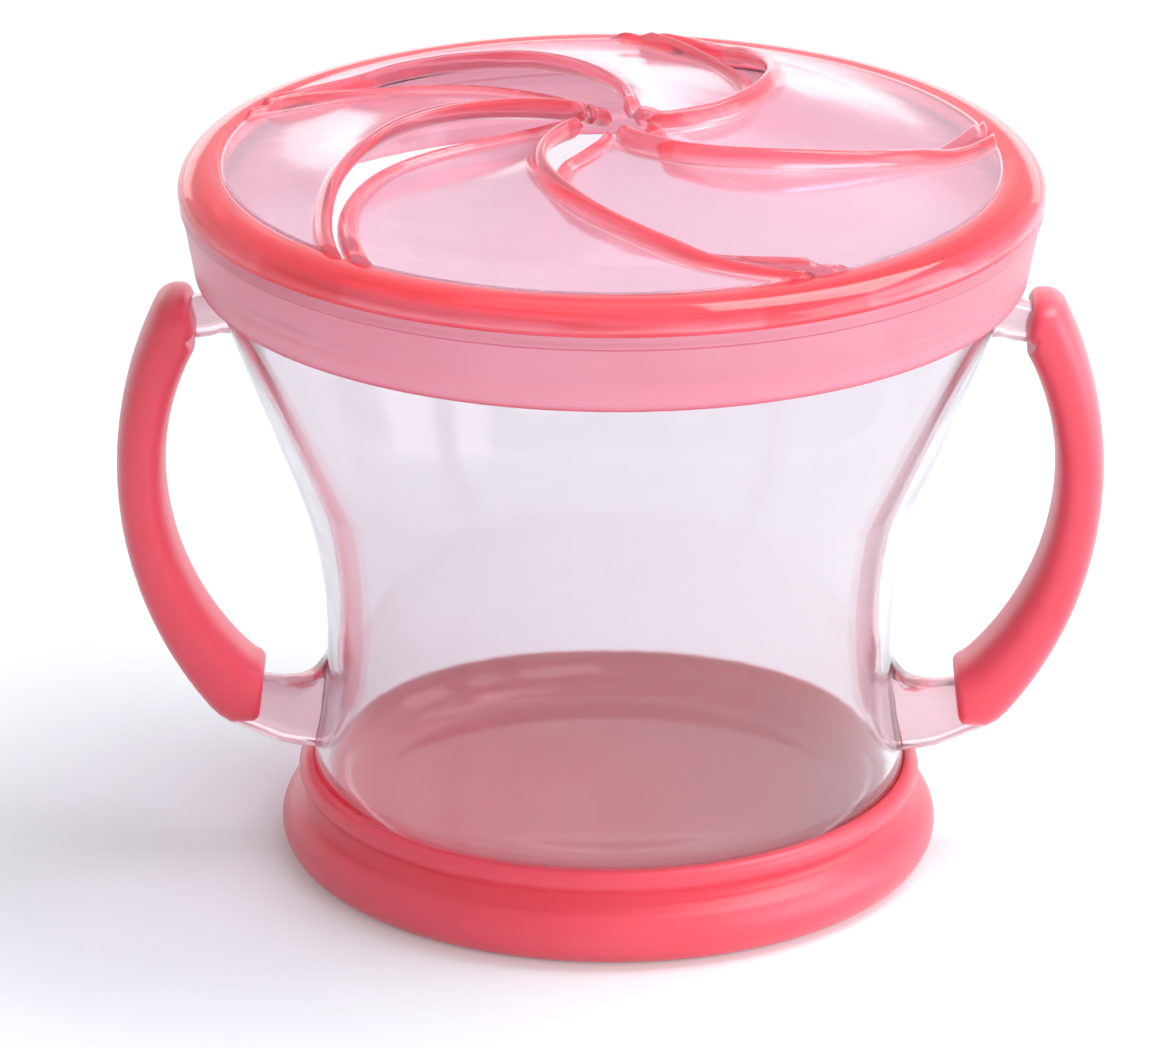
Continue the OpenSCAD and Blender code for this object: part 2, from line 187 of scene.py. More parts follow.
def ring_soft():
    """Clear red elastomer of the top ring: painted light and shade round its section, with deep red shade
    where it rounds over, and streaks that run round it.
    """
    material, tree = new_material("red_clear_elastomer")
    normal, _, fine = moulded_bump(tree, 0.8, 0.002, 9, 0.05)
    turn, radius, height = polar(tree)
    # streaks: noise stretched along the ring
    along = add(tree, "ShaderNodeCombineXYZ", None, {"X": turn, "Y": radius, "Z": height}).outputs["Vector"]
    scaled = add(tree, "ShaderNodeMapping", None, {"Vector": along, "Scale": (4.0, 1100.0, 1100.0)})
    streak = add(tree, "ShaderNodeTexNoise", None,
                 {"Vector": scaled.outputs["Vector"], "Scale": 1.0, "Detail": 2.0}).outputs["Fac"]
    # painted light and shade by the way round the ring's section: a dark line of shade at its foot, a side
    # lit pale from inside, deep red shade on the shoulder and a top lit pinker
    low = add(tree, "ShaderNodeMath", {"operation": "SUBTRACT"}, {0: height, 1: RING_Z * MM}).outputs[0]
    out = add(tree, "ShaderNodeMath", {"operation": "SUBTRACT"},
              {0: radius, 1: (RING_IN_R + 1) * MM}).outputs[0]
    lean = add(tree, "ShaderNodeMath", {"operation": "ARCTAN2"}, {0: low, 1: out}).outputs[0]
    section_light_shade = add(tree, "ShaderNodeMapRange", None,
                {"Value": lean, "From Max": math.radians(120)}).outputs["Result"]
    ramp = add(tree, "ShaderNodeValToRGB", None, {"Fac": section_light_shade})
    light_and_shade_stops = [(0.0, "FA667A"), (0.035, "FC7088"), (0.06, "FFB4C2"), (0.11, "FF96A8"), (0.17, "FF7A8E"),
             (0.26, "FF6071"), (0.36, "FF4854"), (0.55, "FF4650"), (0.72, "FF7480"), (0.9, "FF9CA6")]
    while len(ramp.color_ramp.elements) < len(light_and_shade_stops):
        ramp.color_ramp.elements.new(0.5)
    for element, (at, code) in zip(ramp.color_ramp.elements, light_and_shade_stops):
        element.position, element.color = at, linear(code)
    part = add(tree, "ShaderNodeMapRange", None,
               {"Value": streak, "From Min": 0.45, "From Max": 0.7, "To Max": 0.6}).outputs["Result"]
    # deeper blocks where each slit ends in the ring
    cycle = add(tree, "ShaderNodeMath", {"operation": "MULTIPLY_ADD"},
                {0: turn, 1: FLAPS / (2 * math.pi), 2: 1 - BLOCK_TURN / SECTOR}).outputs[0]
    cycle = add(tree, "ShaderNodeMath", {"operation": "FRACT"}, {0: cycle}).outputs[0]
    cycle = add(tree, "ShaderNodeMath", {"operation": "SUBTRACT"}, {0: cycle, 1: 0.5}).outputs[0]
    cycle = add(tree, "ShaderNodeMath", {"operation": "ABSOLUTE"}, {0: cycle}).outputs[0]
    block = add(tree, "ShaderNodeMapRange", None,
                {"Value": cycle, "From Min": 0.48 - BLOCK_HALF / SECTOR,
                 "From Max": 0.5 - BLOCK_HALF / SECTOR, "To Max": 0.55}).outputs["Result"]
    red = add(tree, "ShaderNodeMix", {"data_type": "RGBA"},
              {"Factor": part, "A": ramp.outputs["Color"], "B": linear("F0424E")}).outputs["Result"]
    red = add(tree, "ShaderNodeMix", {"data_type": "RGBA"},
              {"Factor": block, "A": red, "B": linear("F84A56")}).outputs["Result"]
    rough = add(tree, "ShaderNodeMapRange", None, {"Value": fine, "To Min": 0.06, "To Max": 0.11})
    shader = add(tree, "ShaderNodeBsdfPrincipled", None, {
        "Base Color": red, "Roughness": rough.outputs["Result"], "IOR": 1.45,
        "Transmission Weight": 0.5, "Normal": normal})
    add(tree, "ShaderNodeOutputMaterial", None, {"Surface": let_lamps_through(tree, shader, "B8A2AC")})
    return material


def collar_plastic():
    """Tinted clear polypropylene of the collar: even pink, satin outside, with painted shade redder along its
    lower edge and a painted darker line under the flange.
    """
    material, tree = new_material("pink_clear_polypropylene")
    normal, wave, fine = moulded_bump(tree, 1.0, 0.003, 12, 0.08)
    _, _, height = polar(tree)
    # painted shade: the skirt turns darker and redder towards its lower edge
    edge = add(tree, "ShaderNodeMapRange", {"interpolation_type": "SMOOTHSTEP"},
               {"Value": height, "From Min": (COLLAR_Z + 0.9) * MM, "From Max": COLLAR_Z * MM,
                "To Max": 0.7}).outputs["Result"]
    # painted shade and light: a darker, redder line along the flange's lower edge, where light gathers in the
    # plastic
    step = add(tree, "ShaderNodeMath", {"operation": "COMPARE"},
               {0: height, 1: (RING_Z - FLANGE_H) * MM, 2: 0.16 * MM}).outputs[0]
    cloud = add(tree, "ShaderNodeMapRange", None,
                {"Value": wave, "From Min": 0.3, "From Max": 0.7}).outputs["Result"]
    tone = add(tree, "ShaderNodeMix", {"data_type": "RGBA"},
               {"Factor": cloud, "A": linear("FFADBF"), "B": linear("FFB8C7")}).outputs["Result"]
    tone = add(tree, "ShaderNodeMix", {"data_type": "RGBA"},
               {"Factor": edge, "A": tone, "B": linear("EE6680")}).outputs["Result"]
    tone = add(tree, "ShaderNodeMix", {"data_type": "RGBA"},
               {"Factor": step, "A": tone, "B": linear("E8788E")}).outputs["Result"]
    rough = add(tree, "ShaderNodeMapRange", None, {"Value": fine, "To Min": 0.3, "To Max": 0.4})
    shader = add(tree, "ShaderNodeBsdfPrincipled", None, {
        "Base Color": tone, "Roughness": rough.outputs["Result"], "IOR": 1.49,
        "Transmission Weight": 0.78, "Normal": normal})
    add(tree, "ShaderNodeOutputMaterial", None, {"Surface": let_lamps_through(tree, shader, "C8B6C0")})
    return material


def flap_soft():
    """Clear pink elastomer of the flaps: hazy lilac-pink where it is a thin sheet, red in the thick beads."""
    material, tree = new_material("pink_clear_elastomer")
    normal, wave, fine = moulded_bump(tree, 0.8, 0.002, 9, 0.06)
    bead = add(tree, "ShaderNodeAttribute", {"attribute_name": "bead"}).outputs["Fac"]
    deep = add(tree, "ShaderNodeMapRange", {"interpolation_type": "SMOOTHSTEP"},
               {"Value": bead, "From Min": 0.02, "From Max": 0.6}).outputs["Result"]
    sheet = add(tree, "ShaderNodeMix", {"data_type": "RGBA"},
                {"Factor": wave, "A": linear("EBC4D3"), "B": linear("EFCCD9")}).outputs["Result"]
    tone = add(tree, "ShaderNodeMix", {"data_type": "RGBA"},
               {"Factor": deep, "A": sheet, "B": linear("FF8490")}).outputs["Result"]
    rough = add(tree, "ShaderNodeMapRange", None, {"Value": fine, "To Min": 0.11, "To Max": 0.18})
    shader = add(tree, "ShaderNodeBsdfPrincipled", None, {
        "Base Color": tone, "Roughness": rough.outputs["Result"], "IOR": 1.43,
        "Transmission Weight": 0.82, "Normal": normal})
    add(tree, "ShaderNodeOutputMaterial", None, {"Surface": let_lamps_through(tree, shader, "ECDEE6")})
    return material


def coral_rubber():
    """Thermoplastic elastomer overmould: solid coral, soft satin, light goes a few millimetres into it."""
    material, tree = new_material("coral_thermoplastic_elastomer")
    normal, wave, fine = moulded_bump(tree, 0.35, 0.006, 11, 0.05)
    tone = add(tree, "ShaderNodeMix", {"data_type": "RGBA"},
               {"Factor": wave, "A": linear("F0475A"), "B": linear("F45469")})
    # painted shade: deeper, darker coral where the foot is moulded against the clear cup and lies under it
    _, radius, _ = polar(tree)
    under_cup_shade = add(tree, "ShaderNodeMapRange", {"interpolation_type": "SMOOTHSTEP"},
                  {"Value": radius, "From Min": CLEAR_OF_CUP_R * MM,
                   "From Max": AGAINST_CUP_R * MM}).outputs["Result"]
    tone = add(tree, "ShaderNodeMix", {"data_type": "RGBA"},
               {"Factor": under_cup_shade, "A": tone.outputs["Result"], "B": linear("E6243C")})
    rough = add(tree, "ShaderNodeMapRange", None, {"Value": fine, "To Min": 0.4, "To Max": 0.52})
    shader = add(tree, "ShaderNodeBsdfPrincipled", None, {
        "Base Color": tone.outputs["Result"], "Roughness": rough.outputs["Result"], "IOR": 1.45,
        "Subsurface Weight": 0.35, "Subsurface Radius": (1.0, 0.25, 0.25), "Subsurface Scale": 3.0 * MM,
        "Coat Weight": 0.5, "Coat Roughness": 0.32, "Sheen Weight": 0.15, "Sheen Roughness": 0.45,
        "Sheen Tint": linear("FFD0D8"), "Normal": normal})
    add(tree, "ShaderNodeOutputMaterial", None, {"Surface": shader.outputs["BSDF"]})
    return material


CLEAR = clear_plastic()
FROSTED = frosted_plastic()
CORAL = coral_rubber()
COLLAR = collar_plastic()
RING = ring_soft()
FLAP = flap_soft()


# Meshes


def arc(x, z, r, start, end, count):
    """Points of an arc in degrees, from start to end."""
    turns = [math.radians(start + (end - start) * i / count) for i in range(count + 1)]
    return [(x + r * math.cos(t), z + r * math.sin(t)) for t in turns]


def rounded(corners, steps=5):
    """Outline with its corners (x, z, radius) rounded by arcs."""
    outline = []
    count = len(corners)
    for i, (x, z, radius) in enumerate(corners):
        here = Vector((x, z))
        before = Vector(corners[i - 1][:2]) - here
        after = Vector(corners[(i + 1) % count][:2]) - here
        if radius <= 0:
            outline.append((x, z))
            continue
        half = before.angle(after) / 2
        reach = min(radius / math.tan(half), before.length * 0.49, after.length * 0.49)
        a, b = here + before.normalized() * reach, here + after.normalized() * reach
        for k in range(steps + 1):
            t = k / steps
            outline.append(tuple(a * (1 - t) ** 2 + here * 2 * t * (1 - t) + b * t * t))
    return outline


def piece_from(name, verts, faces, material, sharp=35):
    """A smooth mesh object in metres, with faces outwards and an edge kept where it turns more than sharp."""
    mesh = bpy.data.meshes.new(name)
    mesh.from_pydata([tuple(c * MM for c in v) for v in verts], [], faces)
    work = bmesh.new()
    work.from_mesh(mesh)
    bmesh.ops.remove_doubles(work, verts=work.verts, dist=1e-6)
    bmesh.ops.recalc_face_normals(work, faces=work.faces)
    work.to_mesh(mesh)
    work.free()
    mesh.shade_smooth()
    mesh.set_sharp_from_angle(angle=math.radians(sharp))
    mesh.materials.append(material)
    piece = bpy.data.objects.new(name, mesh)
    bpy.context.scene.collection.objects.link(piece)
    return piece


def lathe(name, outline, material, steps=240, sharp=35):
    """A turned piece from a closed outline of (radius, height)."""
    verts, faces = [], []
    count = len(outline)
    for s in range(steps):
        turn = 2 * math.pi * s / steps
        verts += [(r * math.cos(turn), r * math.sin(turn), z) for r, z in outline]
    for s in range(steps):
        n = (s + 1) % steps
        for i in range(count):
            j = (i + 1) % count
            if outline[i][0] == 0 and outline[j][0] == 0:
                continue
            ring = [s * count + i, s * count + j, n * count + j, n * count + i]
            if outline[i][0] == 0:
                ring = [s * count + i, s * count + j, n * count + j]
            if outline[j][0] == 0:
                ring = [s * count + i, s * count + j, n * count + i]
            faces.append(ring)
    return piece_from(name, verts, faces, material, sharp)


# Cup


def cup_side(grow, top_r):
    """One side of the cup wall from the axis to the rim's straight band, grown outwards by grow."""
    waist_r, corner_r = WAIST_CURVE - grow, CORNER_R + grow
    arc_x = WAIST_R + WAIST_CURVE
    corner_z = CUP_FLOOR_Z + CORNER_R
    lean = math.asin((WAIST_Z - corner_z) / (WAIST_CURVE + CORNER_R))
    mid_x = arc_x - (WAIST_CURVE + CORNER_R) * math.cos(lean)
    low = math.degrees(lean)
    points = [(0.0, corner_z - corner_r)]
    points += arc(mid_x, corner_z, corner_r, -90, low, 14)
    points += arc(arc_x, WAIST_Z, waist_r, 180 + low, 180 - math.degrees(WALL_LEAN), 36)[1:]
    x, z = points[-1]
    points.append((top_r, z + (top_r - x) / math.tan(WALL_LEAN)))
    return points


def wall_r(z):
    """Outer radius of the cup at a height."""
    side = cup_side(0, RIM_R)
    for (x0, z0), (x1, z1) in zip(side, side[1:]):
        if z0 <= z <= z1:
            return x0 + (x1 - x0) * (z - z0) / (z1 - z0)
    return RIM_R


def cup_outline():
    """The cup's closed outline: its outer side, a low bead under the rounded rim, and its inner side."""
    outer = cup_side(0, RIM_R)
    inner = cup_side(-WALL, RIM_IN_R)
    lip = (RIM_R - RIM_IN_R) / 2
    rim = arc(RIM_R - lip, RIM_Z - lip, lip, 0, 180, 12)
    bead = [(RIM_R, RIM_Z - 3.7), (RIM_R + 0.12, RIM_Z - 3.3), (RIM_R + 0.15, RIM_Z - 3.1),
            (RIM_R + 0.12, RIM_Z - 2.9), (RIM_R, RIM_Z - 2.5)]
    return outer + bead + rim + inner[::-1]


def band(name, outline, depth, spine, round_r, material):
    """A bar with an outline in x and z; its front and back edges round towards the height of its spine."""
    levels = [(depth / 2 - round_r * (1 - math.sin(t)), round_r * (1 - math.cos(t)))
              for t in (math.radians(22.5 * k) for k in range(5))]
    levels = [(-y, inset) for y, inset in levels[::-1]] + levels
    verts, faces = [], []
    for y, inset in levels:
        verts += [(x, y, z - math.copysign(min(inset, abs(z - spine)), z - spine)) for x, z in outline]
    count = len(outline)
    for k in range(len(levels) - 1):
        faces += [[k * count + i, k * count + (i + 1) % count, (k + 1) * count + (i + 1) % count,
                   (k + 1) * count + i] for i in range(count)]
    faces += [list(range(count)), [(len(levels) - 1) * count + i for i in range(count)][::-1]]
    return piece_from(name, verts, faces, material)


# Struts: corners (x, z, radius) from the cup's wall out into the grip, and the height they round towards
LOW_STRUT = [(31.6, 11.5, 0), (35.3, 11.9, 3), (37.4, 12.3, 3), (43.5, 14.9, 0), (43.5, 20.5, 0),
             (39.6, 19.9, 3), (37, 19.6, 3), (35.2, 19.8, 2), (33.8, 20.5, 2), (32.7, 21.9, 2),
             (31.9, 23.6, 2), (30.6, 24.6, 0)]
HIGH_STRUT = [(50, 61.6, 0), (46.4, 61.5, 2), (45, 61.7, 2), (43.7, 62.1, 1.5), (42.6, 62, 1.5),
              (40.6, 61, 0), (41.4, 67.2, 0), (43.4, 67, 2), (45.6, 66.1, 2), (50, 64.9, 0)]
LOW_SPINE, HIGH_SPINE = 17.6, 63.9


def build_cup():
    """The turned cup with its struts joined on, so that light meets one wall and no hidden faces."""
    cup = lathe("cup_body", cup_outline(), CLEAR)
    for side in (1, -1):
        for outline, spine in ((LOW_STRUT, LOW_SPINE), (HIGH_STRUT, HIGH_SPINE)):
            points = [(side * x, z) for x, z in rounded(outline)]
            strut = band("strut", points, STRUT_DEPTH, spine, STRUT_ROUND, CLEAR)
            join = cup.modifiers.new("join", "BOOLEAN")
            join.operation, join.solver, join.object = "UNION", "EXACT", strut
            made = bpy.data.meshes.new_from_object(cup.evaluated_get(bpy.context.evaluated_depsgraph_get()))
            cup.modifiers.clear()
            cup.data = made
            bpy.data.objects.remove(strut)
    cup.data.shade_smooth()
    cup.data.set_sharp_from_angle(angle=math.radians(32))
    cup.data.materials.append(FROSTED)
    # what stands out from the wall below the lid is a strut, and frosted
    for face in cup.data.polygons:
        x, y, z = (c / MM for c in face.center)
        if abs(y) <= STRUT_DEPTH / 2 + 0.01 and math.hypot(x, y) > wall_r(z) + 0.25 and z < RIM_Z - 8:
            face.material_index = 1
    return cup


# Grips


def grip_paths():
    """Matching points up the outer and inner curves of a grip, from its lower end face to its upper one."""
    outer = arc(*GRIP_OUT, -44.8, 26.4, 40)
    inner = arc(*GRIP_IN, -47.0, 27.2, 40)
    # the lower outer corner is rounded off
    for i in range(3):
        back = 1 - i / 3
        away = (Vector(outer[i]) - Vector(GRIP_OUT[:2])).normalized()
        outer[i] = tuple(Vector(outer[i]) - away * GRIP_CORNER * (1 - math.sqrt(1 - back * back)))
    outer += [(50.55, 66.35), (49.9, 66.7), (49.2, 66.85), (48.6, 66.8)]
    inner += [(46.85, 60.45), (47.0, 60.75), (47.2, 61.1), (47.45, 61.5)]
    return outer, inner


def grip_ring(out, inn, shrink, around=40):
    """One oval section between an outer and an inner point, drawn in by shrink at a rounded end."""
    centre = (Vector(out) + Vector(inn)) / 2
    half = (Vector(out) - Vector(inn)) / 2
    across, deep = half.length - shrink, GRIP_DEPTH / 2 - shrink
    way = half.normalized()
    power = 2 / GRIP_OVAL
    points = []
    for k in range(around):
        turn = 2 * math.pi * k / around
        c, s = math.cos(turn), math.sin(turn)
        x = across * math.copysign(abs(c) ** power, c)
        y = deep * math.copysign(abs(s) ** power, s)
        place = centre + way * x
        points.append((place.x, y, place.y))
    return points


def build_grip(name, side):
    """A soft sleeve over a handle core: oval sections from end to end, with both ends rounded."""
    outer, inner = grip_paths()
    last = len(outer) - 1
    lower = (Vector(outer[0]) - Vector(outer[1]) + Vector(inner[0]) - Vector(inner[1])).normalized()
    upper = Vector((-1, 0.1)).normalized()
    rings = [grip_ring(outer[i], inner[i], 0) for i in range(last + 1)]
    for end, way in ((0, lower), (last, upper)):
        caps = []
        for k in range(1, 6):
            turn = math.radians(90 * k / 5)
            shrink = GRIP_END_ROUND * (1 - math.cos(turn))
            move = way * (GRIP_END_ROUND * math.sin(turn))
            section = grip_ring(outer[end], inner[end], shrink)
            caps.append([(x + move.x, y, z + move.y) for x, y, z in section])
        rings = caps[::-1] + rings if end == 0 else rings + caps
    around = len(rings[0])
    verts = [(side * x, y, z) for ring in rings for x, y, z in ring]
    faces = []
    for i in range(len(rings) - 1):
        for k in range(around):
            n = (k + 1) % around
            faces.append([i * around + k, i * around + n, (i + 1) * around + n, (i + 1) * around + k])
    faces.append(list(range(around)))
    faces.append([(len(rings) - 1) * around + k for k in range(around)][::-1])
    return piece_from(name, verts, faces, CORAL, 60)


# Foot, collar and ring


def foot_outline():
    """The foot's closed outline: recess, rounded side, groove, rolled lip and the face under the cup."""
    centre = FOOT_R - FOOT_ROUND
    side = arc(centre, FOOT_ROUND, FOOT_ROUND, -90, 62, 20)
    groove = [(GROOVE_R + 0.35, 6.95), (GROOVE_R + 0.05, 7.45), (GROOVE_R, 7.9), (GROOVE_R + 0.15, 8.35)]
    lip = arc(LIP_R - LIP_ROUND, LIP_Z, LIP_ROUND, -48, 98, 14)
    under = [(0, FOOT_RECESS), (29.4, FOOT_RECESS), (30.2, 0.55), (30.8, 0.15), (31.4, 0)]
    # this face sinks a little into the cup's wall, so that no gap shows through the clear wall
    wall = [p for p in cup_side(-FOOT_SINK, RIM_R) if p[1] < LIP_Z + LIP_ROUND - 0.25]
    return under + side + groove + lip + wall[::-1]


def collar_outline():
    """The collar's closed outline: leaning skirt, flange, and the inner bead that grips the cup's rim."""
    return rounded([
        (COLLAR_IN_R + 0.2, COLLAR_Z, 0.4), (COLLAR_LOW_R, COLLAR_Z, 0.5),
        (COLLAR_HIGH_R, RING_Z - FLANGE_H, 0.15), (FLANGE_R, RING_Z - FLANGE_H + 0.1, 0.12),
        (FLANGE_R, RING_Z, 0.2), (COLLAR_IN_R, RING_Z, 0.1), (COLLAR_IN_R, COLLAR_Z + 4.2, 0.3),
        (INNER_BEAD_R, COLLAR_Z + 3.4, 0.3), (INNER_BEAD_R, COLLAR_Z + 2.8, 0.3),
        (COLLAR_IN_R, COLLAR_Z + 2, 0.3)])


def ring_outline():
    """The top ring's closed outline: flat underside, elliptical shoulder and rounded inner edge."""
    top = RING_Z + RING_H
    side = [(RING_R - SHOULDER_R * (1 - math.cos(t)), top - SHOULDER_H * (1 - math.sin(t)))
            for t in (math.radians(-6 + 96 * i / 24) for i in range(25))]
    inside = arc(RING_IN_R + 0.9, top - 0.9, 0.9, 90, 180, 8)
    return ([(COLLAR_IN_R, RING_Z + 0.04), (RING_R - 0.3, RING_Z + 0.04)] + side + inside
            + [(RING_IN_R, RIM_Z + 0.4), (RING_IN_R + 0.3, RIM_Z + 0.1), (COLLAR_IN_R, RIM_Z + 0.1)])


# Flaps: one Geometry Nodes rule bends a flat box into a spiral flap with beads along its edges

FLAP_INPUTS = {
    "Turn": 0.0, "Outer radius": 43.6, "Tip radius": 3.9, "Spiral rate": 88.6 / RING_IN_R,
    "Spiral start": -2.0, "Ring radius": RING_IN_R, "Base height": 81.85, "Crown height": 5.9,
    "Thickness": 1.0, "Slit width": 0.5, "Bead width": 2.1, "Bead rise": 0.75, "Bead drop": 0.5,
    "Rib rise": 0.75, "Tip gap": 0.5}

# Height of the low and the raised edge over the ring, as shares of the crown height, by radius in mm
# from the middle out to EDGE_REACH
EDGE_REACH = 44.0
LOW_EDGE = [(0, 0.68), (4, 0.62), (10, 0.3), (16, 0.15), (20, 0.12), (28, 0.1), (34, 0.05), (39, 0), (44, 0)]
HIGH_EDGE = [(0, 0.9), (6, 0.96), (10, 1), (16, 1), (22, 0.955), (28, 0.78), (34, 0.5), (39, 0.16), (44, 0)]

# Share of a flap's columns that each bead takes
BEAD_SHARE = 0.24
# Where each change with the radius starts, and over how far it runs: slits that widen inwards, beads that
# swell inwards, a rib that grows outwards and then ends
SLIT_FROM, SLIT_OVER = 10.5, 7.0
SWELL_FROM, SWELL_OVER = 14.0, 9.0
RIB_FROM, RIB_OVER, RIB_END, RIB_END_OVER = 33.0, 8.0, 42.2, 0.5
TIP_ROUND = 1.4

# The rule, one maths step a line: result, operation, up to three operands
FLAP_RULE = [
    ("reach", "SUBTRACT", "Tip radius", "Outer radius"),
    ("r", "MULTIPLY_ADD", "V", "reach", "Outer radius"),
    ("rate", "RADIANS", "Spiral rate"),
    ("slope", "MULTIPLY", "r", "rate"),
    ("slope2", "MULTIPLY_ADD", "slope", "slope", 1.0),
    ("stretch", "SQRT", "slope2"),
    ("around", "MULTIPLY", "r", math.radians(SECTOR)),
    ("span", "DIVIDE", "around", "stretch"),
    # the slits widen towards the middle, where each tip narrows to a point
    ("gap", "SUBTRACT", SLIT_FROM, "r"),
    ("gap", "DIVIDE", "gap", SLIT_OVER),
    ("gap", "SMOOTH", "gap"),
    ("gap", "MULTIPLY", "gap", "span"),
    ("gap", "MULTIPLY_ADD", "gap", "Tip gap", "Slit width"),
    ("room", "SUBTRACT", "span", "gap"),
    ("half room", "MULTIPLY", "room", 0.48),
    ("bead", "MINIMUM", "Bead width", "half room"),
    ("a", "MULTIPLY", "U", 1 / BEAD_SHARE),
    ("a", "MINIMUM", "a", 1.0),
    ("near low", "POWER", "a", 1.6),
    ("b", "SUBTRACT", 1.0, "U"),
    ("b", "MULTIPLY", "b", 1 / BEAD_SHARE),
    ("b", "MINIMUM", "b", 1.0),
    ("near high", "POWER", "b", 1.6),
    ("m", "SUBTRACT", "U", BEAD_SHARE),
    ("m", "DIVIDE", "m", 1 - 2 * BEAD_SHARE),
    ("m", "MAXIMUM", "m", 0.0),
    ("m", "MINIMUM", "m", 1.0),
    ("half slit", "MULTIPLY", "Slit width", -0.5),
    ("half slit", "ADD", "gap", "half slit"),
    ("low part", "MULTIPLY_ADD", "bead", "near low", "half slit"),
    ("sheet", "MULTIPLY_ADD", "bead", -2.0, "room"),
    ("sheet part", "MULTIPLY", "sheet", "m"),
    ("far high", "SUBTRACT", 1.0, "near high"),
    ("high part", "MULTIPLY", "bead", "far high"),
    ("d", "ADD", "low part", "sheet part"),
    ("d", "ADD", "d", "high part"),
    ("u", "DIVIDE", "d", "span"),
    # roundness of the edges: each bead rises from a thin edge and falls back to the sheet
    ("la", "MULTIPLY_ADD", "near low", -2.0, 1.0),
    ("la", "MAXIMUM", "la", 0.0),
    ("la", "MULTIPLY", "la", "la"),
    ("la", "SUBTRACT", 1.0, "la"),
    ("round low", "SQRT", "la"),
    ("lb", "MULTIPLY_ADD", "near high", -2.0, 1.0),
    ("lb", "MAXIMUM", "lb", 0.0),
    ("lb", "MULTIPLY", "lb", "lb"),
    ("lb", "SUBTRACT", 1.0, "lb"),
    ("round high", "SQRT", "lb"),
    ("fa", "MULTIPLY_ADD", "near low", 2.0, -1.0),
    ("fa", "SMOOTH", "fa"),
    ("fb", "MULTIPLY_ADD", "near high", 2.0, -1.0),
    ("fb", "SMOOTH", "fb"),
    ("hump low", "SUBTRACT", 1.0, "fa"),
    ("hump high", "SUBTRACT", 1.0, "fb"),
    ("hump", "ADD", "hump low", "hump high"),
    ("to tip", "SUBTRACT", SWELL_FROM, "r"),
    ("to tip", "DIVIDE", "to tip", SWELL_OVER),
    ("to tip", "SMOOTH", "to tip"),
    ("swell", "MULTIPLY_ADD", "to tip", 0.35, 1.0),
    ("rib", "SUBTRACT", "r", RIB_FROM),
    ("rib", "DIVIDE", "rib", RIB_OVER),
    ("rib", "SMOOTH", "rib"),
    ("rib end", "SUBTRACT", RIB_END, "r"),
    ("rib end", "DIVIDE", "rib end", RIB_END_OVER),
    ("rib end", "SMOOTH", "rib end"),
    ("rib", "MULTIPLY", "rib", "rib end"),
    ("rib", "MULTIPLY", "rib", "Rib rise"),
    ("rib", "MULTIPLY", "rib", "hump low"),
    ("half sheet", "MULTIPLY", "Thickness", 0.5),
    ("rise", "MULTIPLY", "Bead rise", "swell"),
    ("up", "MULTIPLY_ADD", "hump", "rise", "half sheet"),
    ("up", "ADD", "up", "rib"),
    ("down", "MULTIPLY_ADD", "hump", "Bead drop", "half sheet"),
    ("edge", "MULTIPLY", "round low", "round high"),
    ("tip d", "SUBTRACT", "r", "Tip radius"),
    ("tip d", "DIVIDE", "tip d", TIP_ROUND),
    ("tip d", "MINIMUM", "tip d", 1.0),
    ("tip e", "SUBTRACT", 1.0, "tip d"),
    ("tip e", "MULTIPLY", "tip e", "tip e"),
    ("tip e", "SUBTRACT", 1.0, "tip e"),
    ("tip round", "SQRT", "tip e"),
    ("edge", "MULTIPLY", "edge", "tip round"),
    # height of the sheet's middle: low over most of its width, then curving up to the raised edge
    ("u2", "MULTIPLY", "u", "u"),
    ("u4", "MULTIPLY", "u2", "u2"),
    ("u4", "MULTIPLY", "u4", 0.55),
    ("lift", "MULTIPLY_ADD", "u", 0.45, "u4"),
    ("climb", "SUBTRACT", "High edge", "Low edge"),
    ("mid", "MULTIPLY_ADD", "climb", "lift", "Low edge"),
    ("mid", "MULTIPLY_ADD", "mid", "Crown height", "Base height"),
    ("thick", "ADD", "up", "down"),
    ("side", "MULTIPLY", "W", "thick"),
    ("side", "SUBTRACT", "side", "down"),
    ("side", "MULTIPLY", "side", "edge"),
    ("z", "ADD", "mid", "side"),
    ("fall", "SUBTRACT", "r", "Ring radius"),
    ("angle", "MULTIPLY_ADD", "fall", "Spiral rate", "Spiral start"),
    ("angle", "MULTIPLY_ADD", "u", SECTOR, "angle"),
    ("angle", "ADD", "angle", "Turn"),
    ("angle", "RADIANS", "angle"),
    ("cos", "COSINE", "angle"),
    ("sin", "SINE", "angle"),
    ("x", "MULTIPLY", "r", "cos"),
    ("y", "MULTIPLY", "r", "sin"),
]


